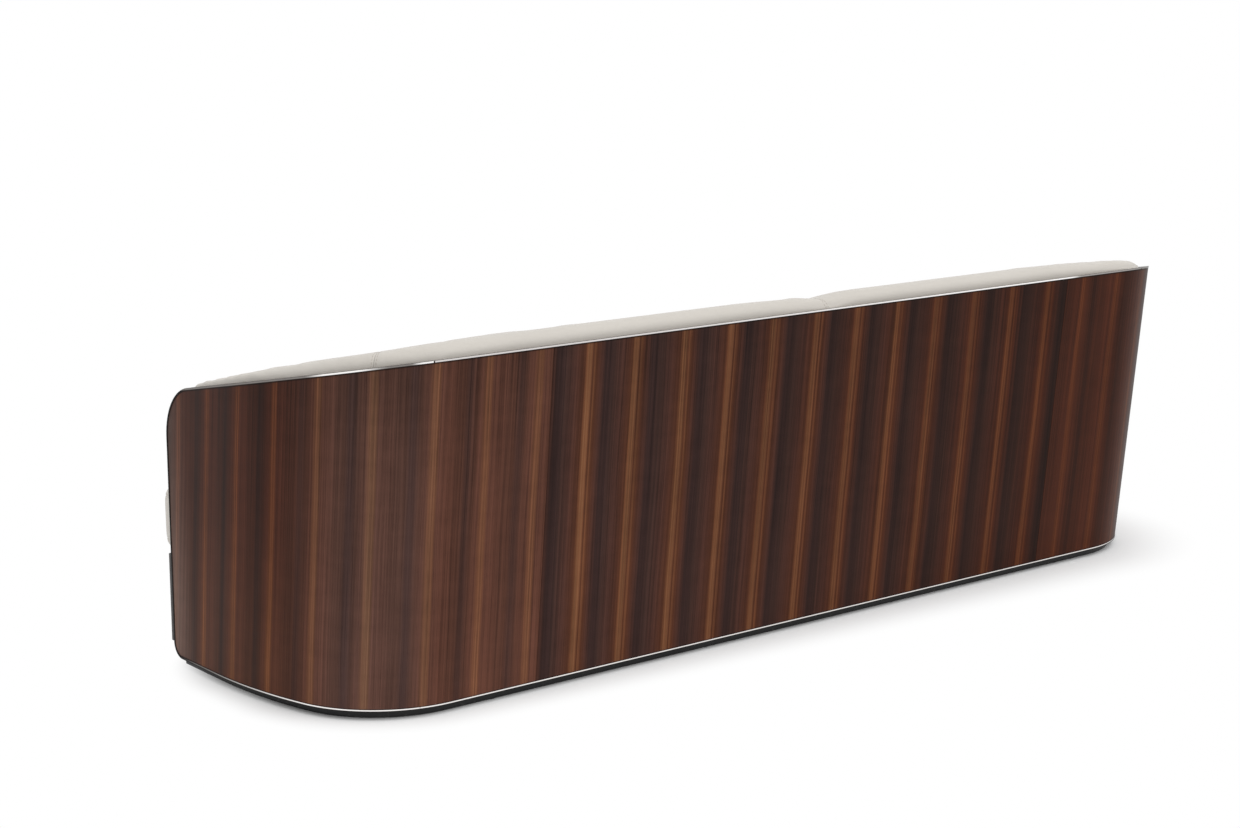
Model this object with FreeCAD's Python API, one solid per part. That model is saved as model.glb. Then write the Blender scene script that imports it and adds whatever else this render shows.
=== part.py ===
import FreeCAD, Part
import math
import os

# A long sofa whose back and arms are one bent veneered shell, edged all round with a polished
# strip, on a low recessed plinth. Two loose seat cushions lift out; everything else is fixed.
# Millimetres. +X runs along the sofa, the seat faces -Y, +Z is up, the floor is at z = 0.

# The shell seen from above, on its outer face at floor strip level: a straight back, then at each
# end a tight bend, a wide bend and a short straight arm
shell_length = 2672.0
shell_foot_depth = 682.0
tight_radius = 258.0
tight_turn = 74.65
wide_radius = 1155.0
shell_thickness = 18.0
shell_joint_setback = 228.0
joint_gap = 0.8

# The shell seen from the side: it leans back and its top edge falls towards the front
foot_height = 20.0
back_height = 785.0
shell_lean = 5.67
top_slope = 11.06
front_top_radius = 128.0
front_foot_radius = 35.0

# The polished edge strip
trim_thickness = 5.0
trim_overhang = 1.0
trim_joint_reach = 72.0

# Seat cushions
seat_reach = 160.0
seat_crown_height = 420.0
seat_crown_drop = 22.0
deck_height = 236.0
cushion_corner_radius = 50.0
cushion_top_radius = 46.0
cushion_foot_radius = 24.0
cushion_rest_gap = 0.6
cushion_side_gap = 3.0
cushion_middle_gap = 1.2
core_inset = 34.0
core_foot_inset = 26.0
core_fit = 0.3

# Back and arm padding
pad_back_depth = 170.0
pad_arm_depth = 51.0
pad_tight_radius = 200.0
pad_tight_turn = 65.0
pad_recline = 8.0
pad_rise_back = 42.0
pad_rise_front = 6.0
pad_mitre_turn = 45.0
pad_seam_gap = 1.2
pad_wall_gap = 2.0
pad_foot_height = 213.0
pad_front_setback = 5.0
pad_front_radius = 145.0
pad_crown_radius = 36.0
pad_front_crown_radius = 13.0
pad_front_edge_radius = 10.0
pad_lap_gap = 1.0

# Timber inside the back and arms
wall_fit = 0.3
back_post_depth = 42.0
back_post_width = 60.0
end_post_margin = 52.0
arm_post_depth = 20.0
arm_post_width = 50.0
arm_post_corner_gap = 61.0
board_thickness = 4.0
top_rail_height = 28.0
top_rail_drop = 46.0
arm_frame_stop = 118.0
stile_width = 48.0
stile_setback = 8.0
stile_fit = 1.0

# Seat box
plate_fit = 1.0
bottom_plate_thickness = 14.0
bottom_plate_width = 96.0
plate_cover = 12.0
rail_thickness = 25.0
rail_top = 205.0
rail_end_gap = 4.0
side_rail_inset = 86.0
corner_board_lap = 12.0
cross_rail_spread = 445.0
apron_overhang = 62.0
apron_thickness = 16.0
apron_side_inset = 42.0
apron_bottom = 28.0
apron_top = 234.0
apron_corner_radius = 9.0

# Webbing and deck
web_width = 72.0
web_thickness = 2.0
web_gap = 0.2
web_edge_gap = 4.0
web_sag = 20.0
long_web_count = 4
cross_web_count = 12
deck_pad_fit = 0.4
deck_side_gap = 4.0

# Plinth, feet and dust cover
plinth_recess = 18.0
plinth_thickness = 22.0
bearer_width = 60.0
bearer_clearance = 1.0
glide_height = 2.0
glide_diameter = 18.0
glide_end_margin = 126.0
glides_per_board = 4
dust_cover_thickness = 1.0
dust_cover_margin = 6.0
dust_cover_gap = 0.4

# Steel fittings
plate_length = 120.0
plate_width = 90.0
plate_thickness = 3.0
lower_plate_rise = 160.0
upper_plate_drop = 225.0
screw_spacing_across = 60.0
screw_spacing_up = 80.0
screw_head_diameter = 9.0
screw_head_height = 2.4
screw_shank_diameter = 4.0
screw_length = 14.0
screw_fit = 0.1
bracket_leg = 34.0
bracket_width = 30.0
bracket_setback = 1.5

# Places that follow from the sizes above; the depth is shared evenly about y = 0
shell_half = shell_length / 2
lean = math.tan(math.radians(shell_lean))
recline = math.tan(math.radians(pad_recline))
slope = math.radians(top_slope)
lean_reach = lean * (back_height - foot_height)
trim_reach = trim_overhang / (1 - lean * math.tan(slope))
overall_depth = seat_reach + shell_foot_depth + lean_reach + trim_reach
nose_y = -overall_depth / 2
arm_front_y = nose_y + seat_reach
back_y = arm_front_y + shell_foot_depth
top_edge_y = back_y + lean_reach
far = 2 * shell_length
sky = 2 * back_height


def vec(x, y, z=0.0):
    return FreeCAD.Vector(x, y, z)


def box(x0, x1, y0, y1, z0, z1):
    return Part.makeBox(x1 - x0, y1 - y0, z1 - z0, vec(x0, y0, z0))


def slice_x(shape, x0, x1):
    """The part of a shape between two planes across the sofa."""
    return shape.common(box(x0, x1, -far, far, -far, far))


def slice_y(shape, y0, y1):
    """The part of a shape between two planes along the sofa."""
    return shape.common(box(-far, far, y0, y1, -far, far))


def mirrored(shape):
    return shape.mirror(vec(0, 0), vec(1, 0))


def both_sides(name, shape):
    """Keep a shape made on the +X side as the left piece, and its mirror image as the right one."""
    nodes["left_" + name] = shape
    nodes["right_" + name] = mirrored(shape)


def group(shapes):
    return Part.makeCompound(shapes)


def evenly(limit, count):
    """Evenly spaced places from -limit to limit."""
    return [limit * (2 * number / (count - 1) - 1) for number in range(count)]


class Plan:
    """A wall line seen from above: straight back, tight bend, wide bend, straight arm."""

    def __init__(self, half, back, tight, turn, wide, shear):
        self.half = half
        self.back = back
        self.tight = tight
        self.wide = wide
        self.turn = math.radians(turn)
        self.shear = shear
        self.straight = half - tight * math.sin(self.turn) - wide * (1 - math.sin(self.turn))
        self.tight_centre = vec(self.straight, back - tight)
        self.tight_depth = tight * (1 - math.cos(self.turn))
        self.wide_centre = vec(half - wide, back - self.tight_depth - wide * math.cos(self.turn))

    def around(self, centre, radius, angle):
        return centre + vec(radius * math.sin(angle), radius * math.cos(angle))

    def half_line(self, inset, front):
        """Edges from the +X arm front round to the middle of the back."""
        tight = self.tight - inset
        wide = self.wide - inset
        start = vec(self.half - inset, front)
        arm_end = vec(self.half - inset, self.wide_centre.y)
        wide_middle = self.around(self.wide_centre, wide, (self.turn + math.pi / 2) / 2)
        meeting = self.around(self.tight_centre, tight, self.turn)
        tight_middle = self.around(self.tight_centre, tight, self.turn / 2)
        back_end = vec(self.straight, self.back - inset)
        return [
            Part.makeLine(start, arm_end),
            Part.Arc(arm_end, wide_middle, meeting).toShape(),
            Part.Arc(meeting, tight_middle, back_end).toShape(),
            Part.makeLine(back_end, vec(0, self.back - inset)),
        ]

    def area(self, inset):
        """The floor area inside the wall line, open towards the front."""
        half = self.half_line(inset, -far)
        closing = Part.makeLine(vec(inset - self.half, -far), vec(self.half - inset, -far))
        edges = half + [mirrored(edge) for edge in half] + [closing]
        return Part.Face(Part.Wire(Part.__sortEdges__(edges)))

    def raised(self, face, z0, z1):
        """Pull a plan face up along the lean of the wall, from z0 to z1."""
        low = face.copy()
        low.translate(vec(0, self.shear * (z0 - foot_height), z0))
        return low.extrude(vec(0, self.shear * (z1 - z0), z1 - z0))

    def block(self, inset, z0, z1):
        return self.raised(self.area(inset), z0, z1)

    def wall(self, inset_out, inset_in, z0=0.0, z1=sky):
        return self.block(inset_out, z0, z1).cut(self.block(inset_in, z0 - 1, z1 + 1))


def top_line(y, drop=0.0):
    """Height of the sloping top edge at depth y, lowered square to itself by drop."""
    return back_height - math.tan(slope) * (top_edge_y - y) - drop / math.cos(slope)


def rounded_side(front, foot, top_at_front, rise, foot_radius, top_radius):
    """A side view with a sloping top and two rounded front corners, as a block across the sofa."""
    top_centre = vec(0, front + top_radius,
                     top_at_front + math.tan(rise) * top_radius - top_radius / math.cos(rise))
    foot_centre = vec(0, front + foot_radius, foot + foot_radius)
    quarter = math.pi / 2
    top_turn = quarter - rise

    def out(centre, radius, angle):
        return centre + vec(0, -radius * math.cos(angle), radius * math.sin(angle))

    low_rear = vec(0, far, foot)
    low_front = out(foot_centre, foot_radius, -quarter)
    front_low = out(foot_centre, foot_radius, 0)
    front_high = out(top_centre, top_radius, 0)
    top_front = out(top_centre, top_radius, top_turn)
    top_rear = vec(0, far, top_at_front + math.tan(rise) * (far - front))
    edges = [
        Part.makeLine(low_rear, low_front),
        Part.Arc(low_front, out(foot_centre, foot_radius, -quarter / 2), front_low).toShape(),
        Part.makeLine(front_low, front_high),
        Part.Arc(front_high, out(top_centre, top_radius, top_turn / 2), top_front).toShape(),
        Part.makeLine(top_front, top_rear),
        Part.makeLine(top_rear, low_rear),
    ]
    face = Part.Face(Part.Wire(edges))
    face.translate(vec(-far, 0))
    return face.extrude(vec(2 * far, 0))


def side_profile(inset):
    """The shell seen from the side, inset all round."""
    front = arm_front_y + inset
    return rounded_side(front, foot_height + inset, top_line(front, inset), slope,
                        front_foot_radius - inset, front_top_radius - inset)


def under_slope(drop, front=-far):
    """Everything below the sloping top edge lowered by drop, behind a given depth."""
    points = [vec(0, front, -far), vec(0, far, -far), vec(0, far, top_line(far, drop)),
              vec(0, front, top_line(front, drop))]
    face = Part.Face(Part.makePolygon(points + points[:1]))
    face.translate(vec(-far, 0))
    return face.extrude(vec(2 * far, 0))


# The shell line, the same line without lean, and the line of the padding around the seat. The
# wide bend of the padding ends at the arm fronts, and its place is set at deck height.
outer = Plan(shell_half, back_y, tight_radius, tight_turn, wide_radius, lean)
upright = Plan(shell_half, back_y, tight_radius, tight_turn, wide_radius, 0)
pad_turn = math.radians(pad_tight_turn)
pad_wide_depth = shell_foot_depth - pad_back_depth - pad_tight_radius * (1 - math.cos(pad_turn))
seat = Plan(shell_half - pad_arm_depth, back_y - pad_back_depth - recline * (deck_height - foot_height),
            pad_tight_radius, pad_tight_turn, pad_wide_depth / math.cos(pad_turn), recline)

nodes = {}

# Veneered shell: a back panel and two bent ends, butted together
shell = outer.wall(0, shell_thickness).common(side_profile(trim_thickness))
shell_joint_x = outer.straight - shell_joint_setback
nodes["back_shell"] = slice_x(shell, joint_gap / 2 - shell_joint_x, shell_joint_x - joint_gap / 2)
both_sides("end_shell", slice_x(shell, shell_joint_x + joint_gap / 2, far))

# Polished strip round every edge of the shell: two lengths along the back, one round each arm
rim = side_profile(0).cut(side_profile(trim_thickness))
trim = outer.wall(-trim_overhang, shell_thickness + trim_overhang).common(rim)
trim_joint_x = outer.straight + trim_joint_reach
back_trim = slice_x(trim, joint_gap / 2 - trim_joint_x, trim_joint_x - joint_gap / 2)
mid_height = (foot_height + back_height) / 2
nodes["top_trim_back"] = back_trim.common(box(-far, far, -far, far, mid_height, sky))
nodes["bottom_trim_back"] = back_trim.common(box(-far, far, -far, far, 0, mid_height))
both_sides("edge_trim", slice_x(trim, trim_joint_x + joint_gap / 2, far))

# Bottom plates: a flat plywood ring that carries the shell, posts and seat rails
plate_top = foot_height + bottom_plate_thickness
plate_out = shell_thickness + trim_overhang + plate_fit
plate_in = plate_out + bottom_plate_width
ring = upright.wall(plate_out, plate_in, foot_height, plate_top)
back_part = slice_y(ring, outer.tight_centre.y, far)
stile_y = arm_front_y + stile_setback
nodes["back_bottom_plate"] = slice_x(back_part, -outer.straight, outer.straight)
both_sides("bottom_plate", slice_x(slice_y(ring, stile_y, far), outer.straight, far))
apron_front_y = nose_y + apron_overhang
apron_back_y = apron_front_y + apron_thickness
apron_half = shell_half - apron_side_inset
plinth_front_y = arm_front_y + plinth_recess
plinth_front_back = plinth_front_y + plinth_thickness
nose_half = apron_half - apron_thickness - wall_fit
heel_half = shell_half - plate_in - wall_fit
plate_nose = box(-nose_half, nose_half, apron_back_y + wall_fit, stile_y - wall_fit, foot_height,
                 plate_top)
plate_heel = box(-heel_half, heel_half, stile_y - wall_fit, plinth_front_back + plate_cover, foot_height,
                 plate_top)
nodes["front_bottom_plate"] = plate_nose.fuse(plate_heel).removeSplitter()

# Plinth: four black boards set back under the plates
plinth_in = plinth_recess + plinth_thickness
plinth = upright.wall(plinth_recess, plinth_in, glide_height, foot_height)
plinth_half = shell_half - plinth_recess
back_part = slice_y(plinth, outer.tight_centre.y, far)
end_part = slice_x(slice_y(plinth, plinth_front_back, far), outer.straight, far)
nodes["plinth_back_board"] = slice_x(back_part, -outer.straight, outer.straight)
nodes["plinth_left_board"] = end_part
nodes["plinth_right_board"] = mirrored(end_part)
nodes["plinth_front_board"] = box(-plinth_half, plinth_half, plinth_front_y, plinth_front_back,
                                  glide_height, foot_height)

# Bearers inside the plinth, from its front board to its back board
plinth_back_face = back_y - plinth_in
bearers = [box(x - bearer_width / 2, x + bearer_width / 2, plinth_front_back, plinth_back_face,
               glide_height + bearer_clearance, foot_height) for x in (-cross_rail_spread, cross_rail_spread)]
nodes["plinth_bearers"] = group(bearers)

# Floor glides: plastic discs under the plinth boards
glide_inset = plinth_recess + plinth_thickness / 2
back_glides = evenly(outer.straight - glide_end_margin, glides_per_board)
front_glides = evenly(plinth_half - glide_end_margin, glides_per_board)
arm_glide_y = (outer.wide_centre.y + plinth_front_back) / 2
glide_spots = [vec(x, back_y - glide_inset) for x in back_glides]
glide_spots += [vec(x, plinth_front_y + plinth_thickness / 2) for x in front_glides]
glide_spots += [vec(x, arm_glide_y) for x in (glide_inset - shell_half, shell_half - glide_inset)]
nodes["floor_glides"] = group([Part.makeCylinder(glide_diameter / 2, glide_height, spot)
                               for spot in glide_spots])

# Dust cover: thin cloth under the seat box, inside the plinth and between the bearers
cover_top = foot_height - dust_cover_gap
dust_cover = upright.block(plinth_in + dust_cover_margin, cover_top - dust_cover_thickness, cover_top)
dust_cover = slice_y(dust_cover, plinth_front_back + dust_cover_margin, far)
for x in (-cross_rail_spread, cross_rail_spread):
    gap_half = bearer_width / 2 + dust_cover_margin
    dust_cover = dust_cover.cut(box(x - gap_half, x + gap_half, -far, far, 0, sky))
nodes["dust_cover"] = dust_cover

# Seat box: hardwood rails on edge, standing on the bottom plates, with a board across each corner
front_rail_y = apron_back_y + wall_fit
front_rail_back = front_rail_y + rail_thickness
side_rail_out = shell_half - side_rail_inset
side_rail_in = side_rail_out - rail_thickness
side_rail_end = back_y - outer.tight_depth - corner_board_lap
back_rail_out = back_y - shell_thickness - back_post_depth - board_thickness - 3 * wall_fit
back_rail_in = back_rail_out - rail_thickness
back_rail_half = outer.straight - rail_end_gap
nodes["front_rail"] = box(-nose_half, nose_half, front_rail_y, front_rail_back, plate_top, rail_top)
nodes["back_rail"] = box(-back_rail_half, back_rail_half, back_rail_in, back_rail_out, plate_top, rail_top)
both_sides("side_rail", box(side_rail_in, side_rail_out, front_rail_back, side_rail_end, plate_top,
                            rail_top))
corners = [vec(back_rail_half, back_rail_out, plate_top), vec(back_rail_half, back_rail_in, plate_top),
           vec(side_rail_in, side_rail_end, plate_top), vec(side_rail_out, side_rail_end, plate_top)]
corner_board = Part.Face(Part.makePolygon(corners + corners[:1]))
both_sides("corner_board", corner_board.extrude(vec(0, 0, rail_top - plate_top)))
nodes["cross_rails"] = group([box(x - rail_thickness / 2, x + rail_thickness / 2, front_rail_back,
                                  back_rail_in, plate_top, rail_top - web_sag)
                              for x in evenly(cross_rail_spread, 3)])

# Apron: the dark front of the seat box, rounded at its ends, with a short return behind each
apron = box(-apron_half, apron_half, apron_front_y, apron_back_y, apron_bottom, apron_top)
front_uprights = [edge for edge in apron.Edges
                  if edge.BoundBox.ZLength > apron_thickness and edge.CenterOfMass.y < apron_back_y - 1]
nodes["front_apron"] = apron.makeFillet(apron_corner_radius, front_uprights)
pad_front_y = arm_front_y + pad_front_setback
both_sides("apron_return", box(apron_half - apron_thickness, apron_half, apron_back_y,
                               pad_front_y - stile_fit, apron_bottom, apron_top))

# Arm stiles: dark hardwood fillers that close each arm front beside the seat box
stile = upright.wall(plate_out, apron_side_inset - stile_fit, plate_top, pad_foot_height - stile_fit)
both_sides("arm_stile", slice_x(slice_y(stile, stile_y, stile_y + stile_width), 0, far))

# Webbing: crosswise straps on the front and back rails, lengthwise straps over them
cross_z = rail_top + web_gap
long_z = cross_z + web_thickness + web_gap
cross_pitch = 2 * back_rail_half / cross_web_count
cross_middle = (cross_web_count - 1) / 2
cross_xs = [(number - cross_middle) * cross_pitch for number in range(cross_web_count)]
nodes["cross_webbing"] = group([
    box(x - web_width / 2, x + web_width / 2, front_rail_y + web_edge_gap, back_rail_out - web_edge_gap,
        cross_z, cross_z + web_thickness) for x in cross_xs])
long_pitch = (side_rail_end - front_rail_back) / long_web_count
long_half = side_rail_out - web_edge_gap
long_ys = [front_rail_back + (number + 0.5) * long_pitch for number in range(long_web_count)]
nodes["long_webbing"] = group([
    box(-long_half, long_half, y - web_width / 2, y + web_width / 2, long_z, long_z + web_thickness)
    for y in long_ys])

# Deck pad: thin firm layer over the webbing, between the pads and behind the apron
deck_low = long_z + web_thickness + deck_pad_fit
deck = slice_y(seat.block(deck_side_gap, deck_low, deck_height), front_rail_y, far)
nodes["seat_deck_pad"] = slice_x(deck, -nose_half, nose_half)


def cushion_block(inset, z0, z1):
    """The +X cushion between two heights, inset all round, with rounded front corners."""
    side = seat.half - cushion_side_gap - inset
    middle = cushion_middle_gap / 2 + inset
    front = box(middle, side, nose_y + inset, far, z0, z1)
    front_uprights = [edge for edge in front.Edges
                      if edge.BoundBox.YMax < nose_y + inset + 1 and edge.BoundBox.XLength < 1]
    front = front.makeFillet(cushion_corner_radius, front_uprights)
    return seat.block(cushion_side_gap + inset, z0, z1).common(front)


# Seat cushions: loose, crowned on top, running past the arm fronts and over the apron
cushion_foot = deck_height + cushion_rest_gap
middle_x = seat.half / 2
middle_y = (nose_y + back_y - pad_back_depth) / 2
corner_reach = math.hypot(middle_x, middle_y - nose_y)
crown_radius = (corner_reach ** 2 + seat_crown_drop ** 2) / (2 * seat_crown_drop)
crown_middle = vec(middle_x, middle_y, seat_crown_height - crown_radius)
crown_ball = Part.makeSphere(crown_radius, crown_middle, vec(1, 0, 0))
crown_ball.rotate(crown_middle, vec(1, 0, 0), 180)
cover = cushion_block(0, cushion_foot, seat_crown_height + seat_crown_drop).common(crown_ball)
crown_face = max(cover.Faces, key=lambda face: face.CenterOfMass.z)
cover = cover.makeFillet(cushion_top_radius, crown_face.OuterWire.Edges)
foot_face = min(cover.Faces, key=lambda face: face.CenterOfMass.z)
cover = cover.makeFillet(cushion_foot_radius, foot_face.OuterWire.Edges)
core_low = cushion_foot + core_foot_inset
core_high = seat_crown_height - seat_crown_drop - core_inset
cavity = cushion_block(core_inset - core_fit, core_low - core_fit, core_high + core_fit)
both_sides("seat_cushion", cover.cut(cavity))
both_sides("seat_core", cushion_block(core_inset, core_low, core_high))

# Posts: uprights on the bottom plates, leaning with the shell. Four stand at the quarters of the
# back panel, one near each end of the straight back, and two in each arm.
post_out = shell_thickness + wall_fit
back_post_in = post_out + back_post_depth
arm_post_in = post_out + arm_post_depth
rail_bottom_drop = top_rail_drop + top_rail_height
frame_front_y = arm_front_y + arm_frame_stop
post_space = under_slope(rail_bottom_drop)
back_studs = outer.wall(post_out, back_post_in, plate_top).common(post_space)
back_studs = slice_y(back_studs, outer.tight_centre.y, far)
left_post_xs = [shell_joint_x / 4, shell_joint_x * 3 / 4, outer.straight - end_post_margin]
left_posts = [slice_x(back_studs, x - back_post_width / 2, x + back_post_width / 2) for x in left_post_xs]
nodes["back_posts"] = group(left_posts + [mirrored(post) for post in left_posts])
arm_studs = slice_x(outer.wall(post_out, arm_post_in, plate_top).common(post_space), outer.straight, far)
arm_post_ys = [frame_front_y, outer.tight_centre.y - arm_post_corner_gap]
both_sides("arm_posts", group([slice_y(arm_studs, y, y + arm_post_width) for y in arm_post_ys]))

# Top rails: bent strips that cap the posts just below the sloping top edge
rail_space = under_slope(top_rail_drop, frame_front_y).cut(post_space)
back_rails = outer.wall(post_out, back_post_in).common(rail_space)
arm_rails = outer.wall(post_out, arm_post_in).common(rail_space)
frame_split_x = outer.straight - wall_fit
nodes["top_rail_back"] = slice_x(back_rails, -frame_split_x, frame_split_x)
both_sides("top_rail", slice_x(arm_rails, outer.straight, far))

# Inner boards: thin plywood across the posts, which the padding is laid on
board_space = under_slope(top_rail_drop, frame_front_y)
back_board_out = back_post_in + wall_fit
back_board_in = back_board_out + board_thickness
arm_board_out = arm_post_in + wall_fit
arm_board_in = arm_board_out + board_thickness
back_boards = outer.wall(back_board_out, back_board_in, plate_top).common(board_space)
arm_boards = outer.wall(arm_board_out, arm_board_in, plate_top).common(board_space)
nodes["inner_back_board"] = slice_x(back_boards, -frame_split_x, frame_split_x)
both_sides("inner_board", slice_x(arm_boards, outer.straight, far))

# Padding: one pad along each half of the back and one round each arm, met at a mitre in the corner
pad_wall_inset = shell_thickness + pad_wall_gap
pad_rise = math.atan(math.tan(slope) + (pad_rise_back - pad_rise_front) / (top_edge_y - arm_front_y))
pad_side = rounded_side(pad_front_y, foot_height, top_line(pad_front_y) + pad_rise_front, pad_rise,
                        front_foot_radius, pad_front_radius)
pads = outer.block(pad_wall_inset, pad_foot_height, sky).common(pad_side)
pads = pads.cut(seat.block(0, pad_foot_height - 1, sky + 1))
pads = slice_x(pads, pad_seam_gap / 2, far)
mitre = math.radians(pad_mitre_turn)
along = vec(math.sin(mitre), math.cos(mitre))
across = vec(math.cos(mitre), -math.sin(mitre))


def past_mitre(shift):
    """All that lies on the arm side of the mitre line of the +X corner, moved across by shift."""
    start = outer.tight_centre + across * shift - along * tight_radius
    end = start + along * far
    points = [start, end, end + across * far, start + across * far]
    return outer.raised(Part.Face(Part.makePolygon(points + points[:1])), 0, sky)


def upper_edges(pad, plan, inset):
    """Edges of a pad's flat top that follow a wall line, seen from above."""
    line = plan.half_line(inset, -far)
    flat = [face for face in pad.Faces
            if isinstance(face.Surface, Part.Plane) and face.normalAt(0, 0).z > 0.9]
    top = max(flat, key=lambda face: face.CenterOfMass.z)
    found = []
    for edge in top.Edges:
        point = edge.valueAt((edge.FirstParameter + edge.LastParameter) / 2)
        foot = Part.Vertex(vec(point.x, point.y - plan.shear * (point.z - foot_height)))
        if min(part.distToShape(foot)[0] for part in line) < 0.5:
            found.append(edge)
    return found


# Back pads are rounded along the top and butted at the seam in the middle of the back
back_pad = pads.cut(past_mitre(-pad_seam_gap / 2))
rounded = upper_edges(back_pad, seat, 0) + upper_edges(back_pad, outer, pad_wall_inset)
back_pad = back_pad.makeFillet(pad_crown_radius, rounded)

# Arm pads are rounded along the top, less and less towards the front, where they are thin
arm_pad = pads.common(past_mitre(pad_seam_gap / 2))
inner_edge = max(upper_edges(arm_pad, seat, 0), key=lambda edge: edge.Length)
arm_pad = arm_pad.makeFillet(pad_crown_radius, pad_front_crown_radius, [inner_edge])
outer_edge = max(upper_edges(arm_pad, outer, pad_wall_inset), key=lambda edge: edge.Length)
arm_pad = arm_pad.makeFillet(pad_crown_radius, pad_front_edge_radius, [outer_edge])

# The padding is hollowed where it laps over the timber
lap_space = under_slope(top_rail_drop - pad_lap_gap, frame_front_y - pad_lap_gap)
back_hollow = outer.wall(shell_thickness, back_board_in + wall_fit).common(lap_space)
back_hollow = slice_x(back_hollow, -far, outer.straight + wall_fit)
arm_hollow = outer.wall(shell_thickness, arm_board_in + wall_fit).common(lap_space)
arm_hollow = slice_x(arm_hollow, outer.straight, far)
both_sides("back_pad", back_pad.cut(back_hollow).cut(arm_hollow))
both_sides("arm_pad", arm_pad.cut(arm_hollow))

# Steel plates screwed across the shell joints on the inside, two at each joint
plate_sheet = outer.wall(shell_thickness, shell_thickness + plate_thickness)
inward = vec(0, -math.cos(math.radians(shell_lean)), math.sin(math.radians(shell_lean)))
sheet_depth = plate_thickness * math.cos(math.radians(shell_lean))
plates = []
screws = []
for height in (foot_height + lower_plate_rise, back_height - upper_plate_drop):
    for x in (-shell_joint_x, shell_joint_x):
        plate = plate_sheet.common(box(x - plate_width / 2, x + plate_width / 2, outer.tight_centre.y, far,
                                       height - plate_length / 2, height + plate_length / 2))
        for screw_x in (x - screw_spacing_across / 2, x + screw_spacing_across / 2):
            for screw_z in (height - screw_spacing_up / 2, height + screw_spacing_up / 2):
                face_y = back_y - shell_thickness + lean * (screw_z - foot_height)
                seat_point = vec(screw_x, face_y, screw_z) + inward * sheet_depth
                hole = Part.makeCylinder(screw_shank_diameter / 2 + screw_fit, screw_length + screw_fit,
                                         seat_point, inward * -1)
                plate = plate.cut(hole)
                for name in ("back_shell", "left_end_shell", "right_end_shell"):
                    nodes[name] = nodes[name].cut(hole)
                shank = Part.makeCylinder(screw_shank_diameter / 2, screw_length, seat_point, inward * -1)
                head = Part.makeCylinder(screw_head_diameter / 2, screw_head_height, seat_point, inward)
                screws.append(head.fuse(shank))
        plates.append(plate)
nodes["shell_joint_plates"] = group(plates)
nodes["joint_plate_screws"] = group(screws)

# Angle brackets that fix each back post to its plate, on the side towards the middle
bracket_y = back_y - post_out - bracket_setback
brackets = []
for x in left_post_xs:
    side = x - back_post_width / 2
    leg = box(side - plate_thickness, side, bracket_y - bracket_width, bracket_y, plate_top,
              plate_top + bracket_leg)
    foot = box(side - bracket_leg, side, bracket_y - bracket_width, bracket_y, plate_top,
               plate_top + plate_thickness)
    bracket = leg.fuse(foot).removeSplitter()
    brackets += [bracket, mirrored(bracket)]
nodes["post_brackets"] = group(brackets)

# Write every piece to its own file
os.makedirs("parts", exist_ok=True)
for name, shape in nodes.items():
    shape.exportStep(os.path.join("parts", name + ".step"))
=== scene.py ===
import math
import bpy
import numpy as np
from mathutils import Matrix, Vector


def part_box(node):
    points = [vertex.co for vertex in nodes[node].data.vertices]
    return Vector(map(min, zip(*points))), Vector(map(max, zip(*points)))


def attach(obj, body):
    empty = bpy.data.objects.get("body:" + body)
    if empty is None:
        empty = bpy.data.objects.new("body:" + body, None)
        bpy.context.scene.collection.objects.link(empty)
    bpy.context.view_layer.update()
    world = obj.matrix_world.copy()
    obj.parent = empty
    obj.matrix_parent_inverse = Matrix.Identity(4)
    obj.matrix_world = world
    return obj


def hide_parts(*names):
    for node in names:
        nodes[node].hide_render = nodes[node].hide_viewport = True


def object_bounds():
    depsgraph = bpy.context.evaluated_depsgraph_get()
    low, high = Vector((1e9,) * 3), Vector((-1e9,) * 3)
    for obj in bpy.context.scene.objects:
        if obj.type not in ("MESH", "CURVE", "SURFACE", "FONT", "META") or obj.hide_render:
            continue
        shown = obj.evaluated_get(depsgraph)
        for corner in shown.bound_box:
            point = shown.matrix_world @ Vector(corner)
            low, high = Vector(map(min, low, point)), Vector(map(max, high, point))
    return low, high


# A long sofa seen from behind: a bent veneered shell with a polished edge, on a low black plinth,
# lined with pale leather padding and two loose seat cushions.
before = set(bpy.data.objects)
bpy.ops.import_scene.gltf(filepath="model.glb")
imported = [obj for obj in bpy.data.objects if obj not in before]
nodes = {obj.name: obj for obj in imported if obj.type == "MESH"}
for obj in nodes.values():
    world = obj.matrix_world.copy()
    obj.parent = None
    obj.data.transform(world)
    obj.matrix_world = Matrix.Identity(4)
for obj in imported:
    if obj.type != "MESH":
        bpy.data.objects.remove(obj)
cad_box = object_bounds()

# Plinth: four low plywood boards in a ring under the shell, with the flat bottom plates on them and the
# stiles that close the arm fronts. All are sprayed with a black satin lacquer, scuffed a little near
# the floor where mops and shoes reach.


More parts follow.
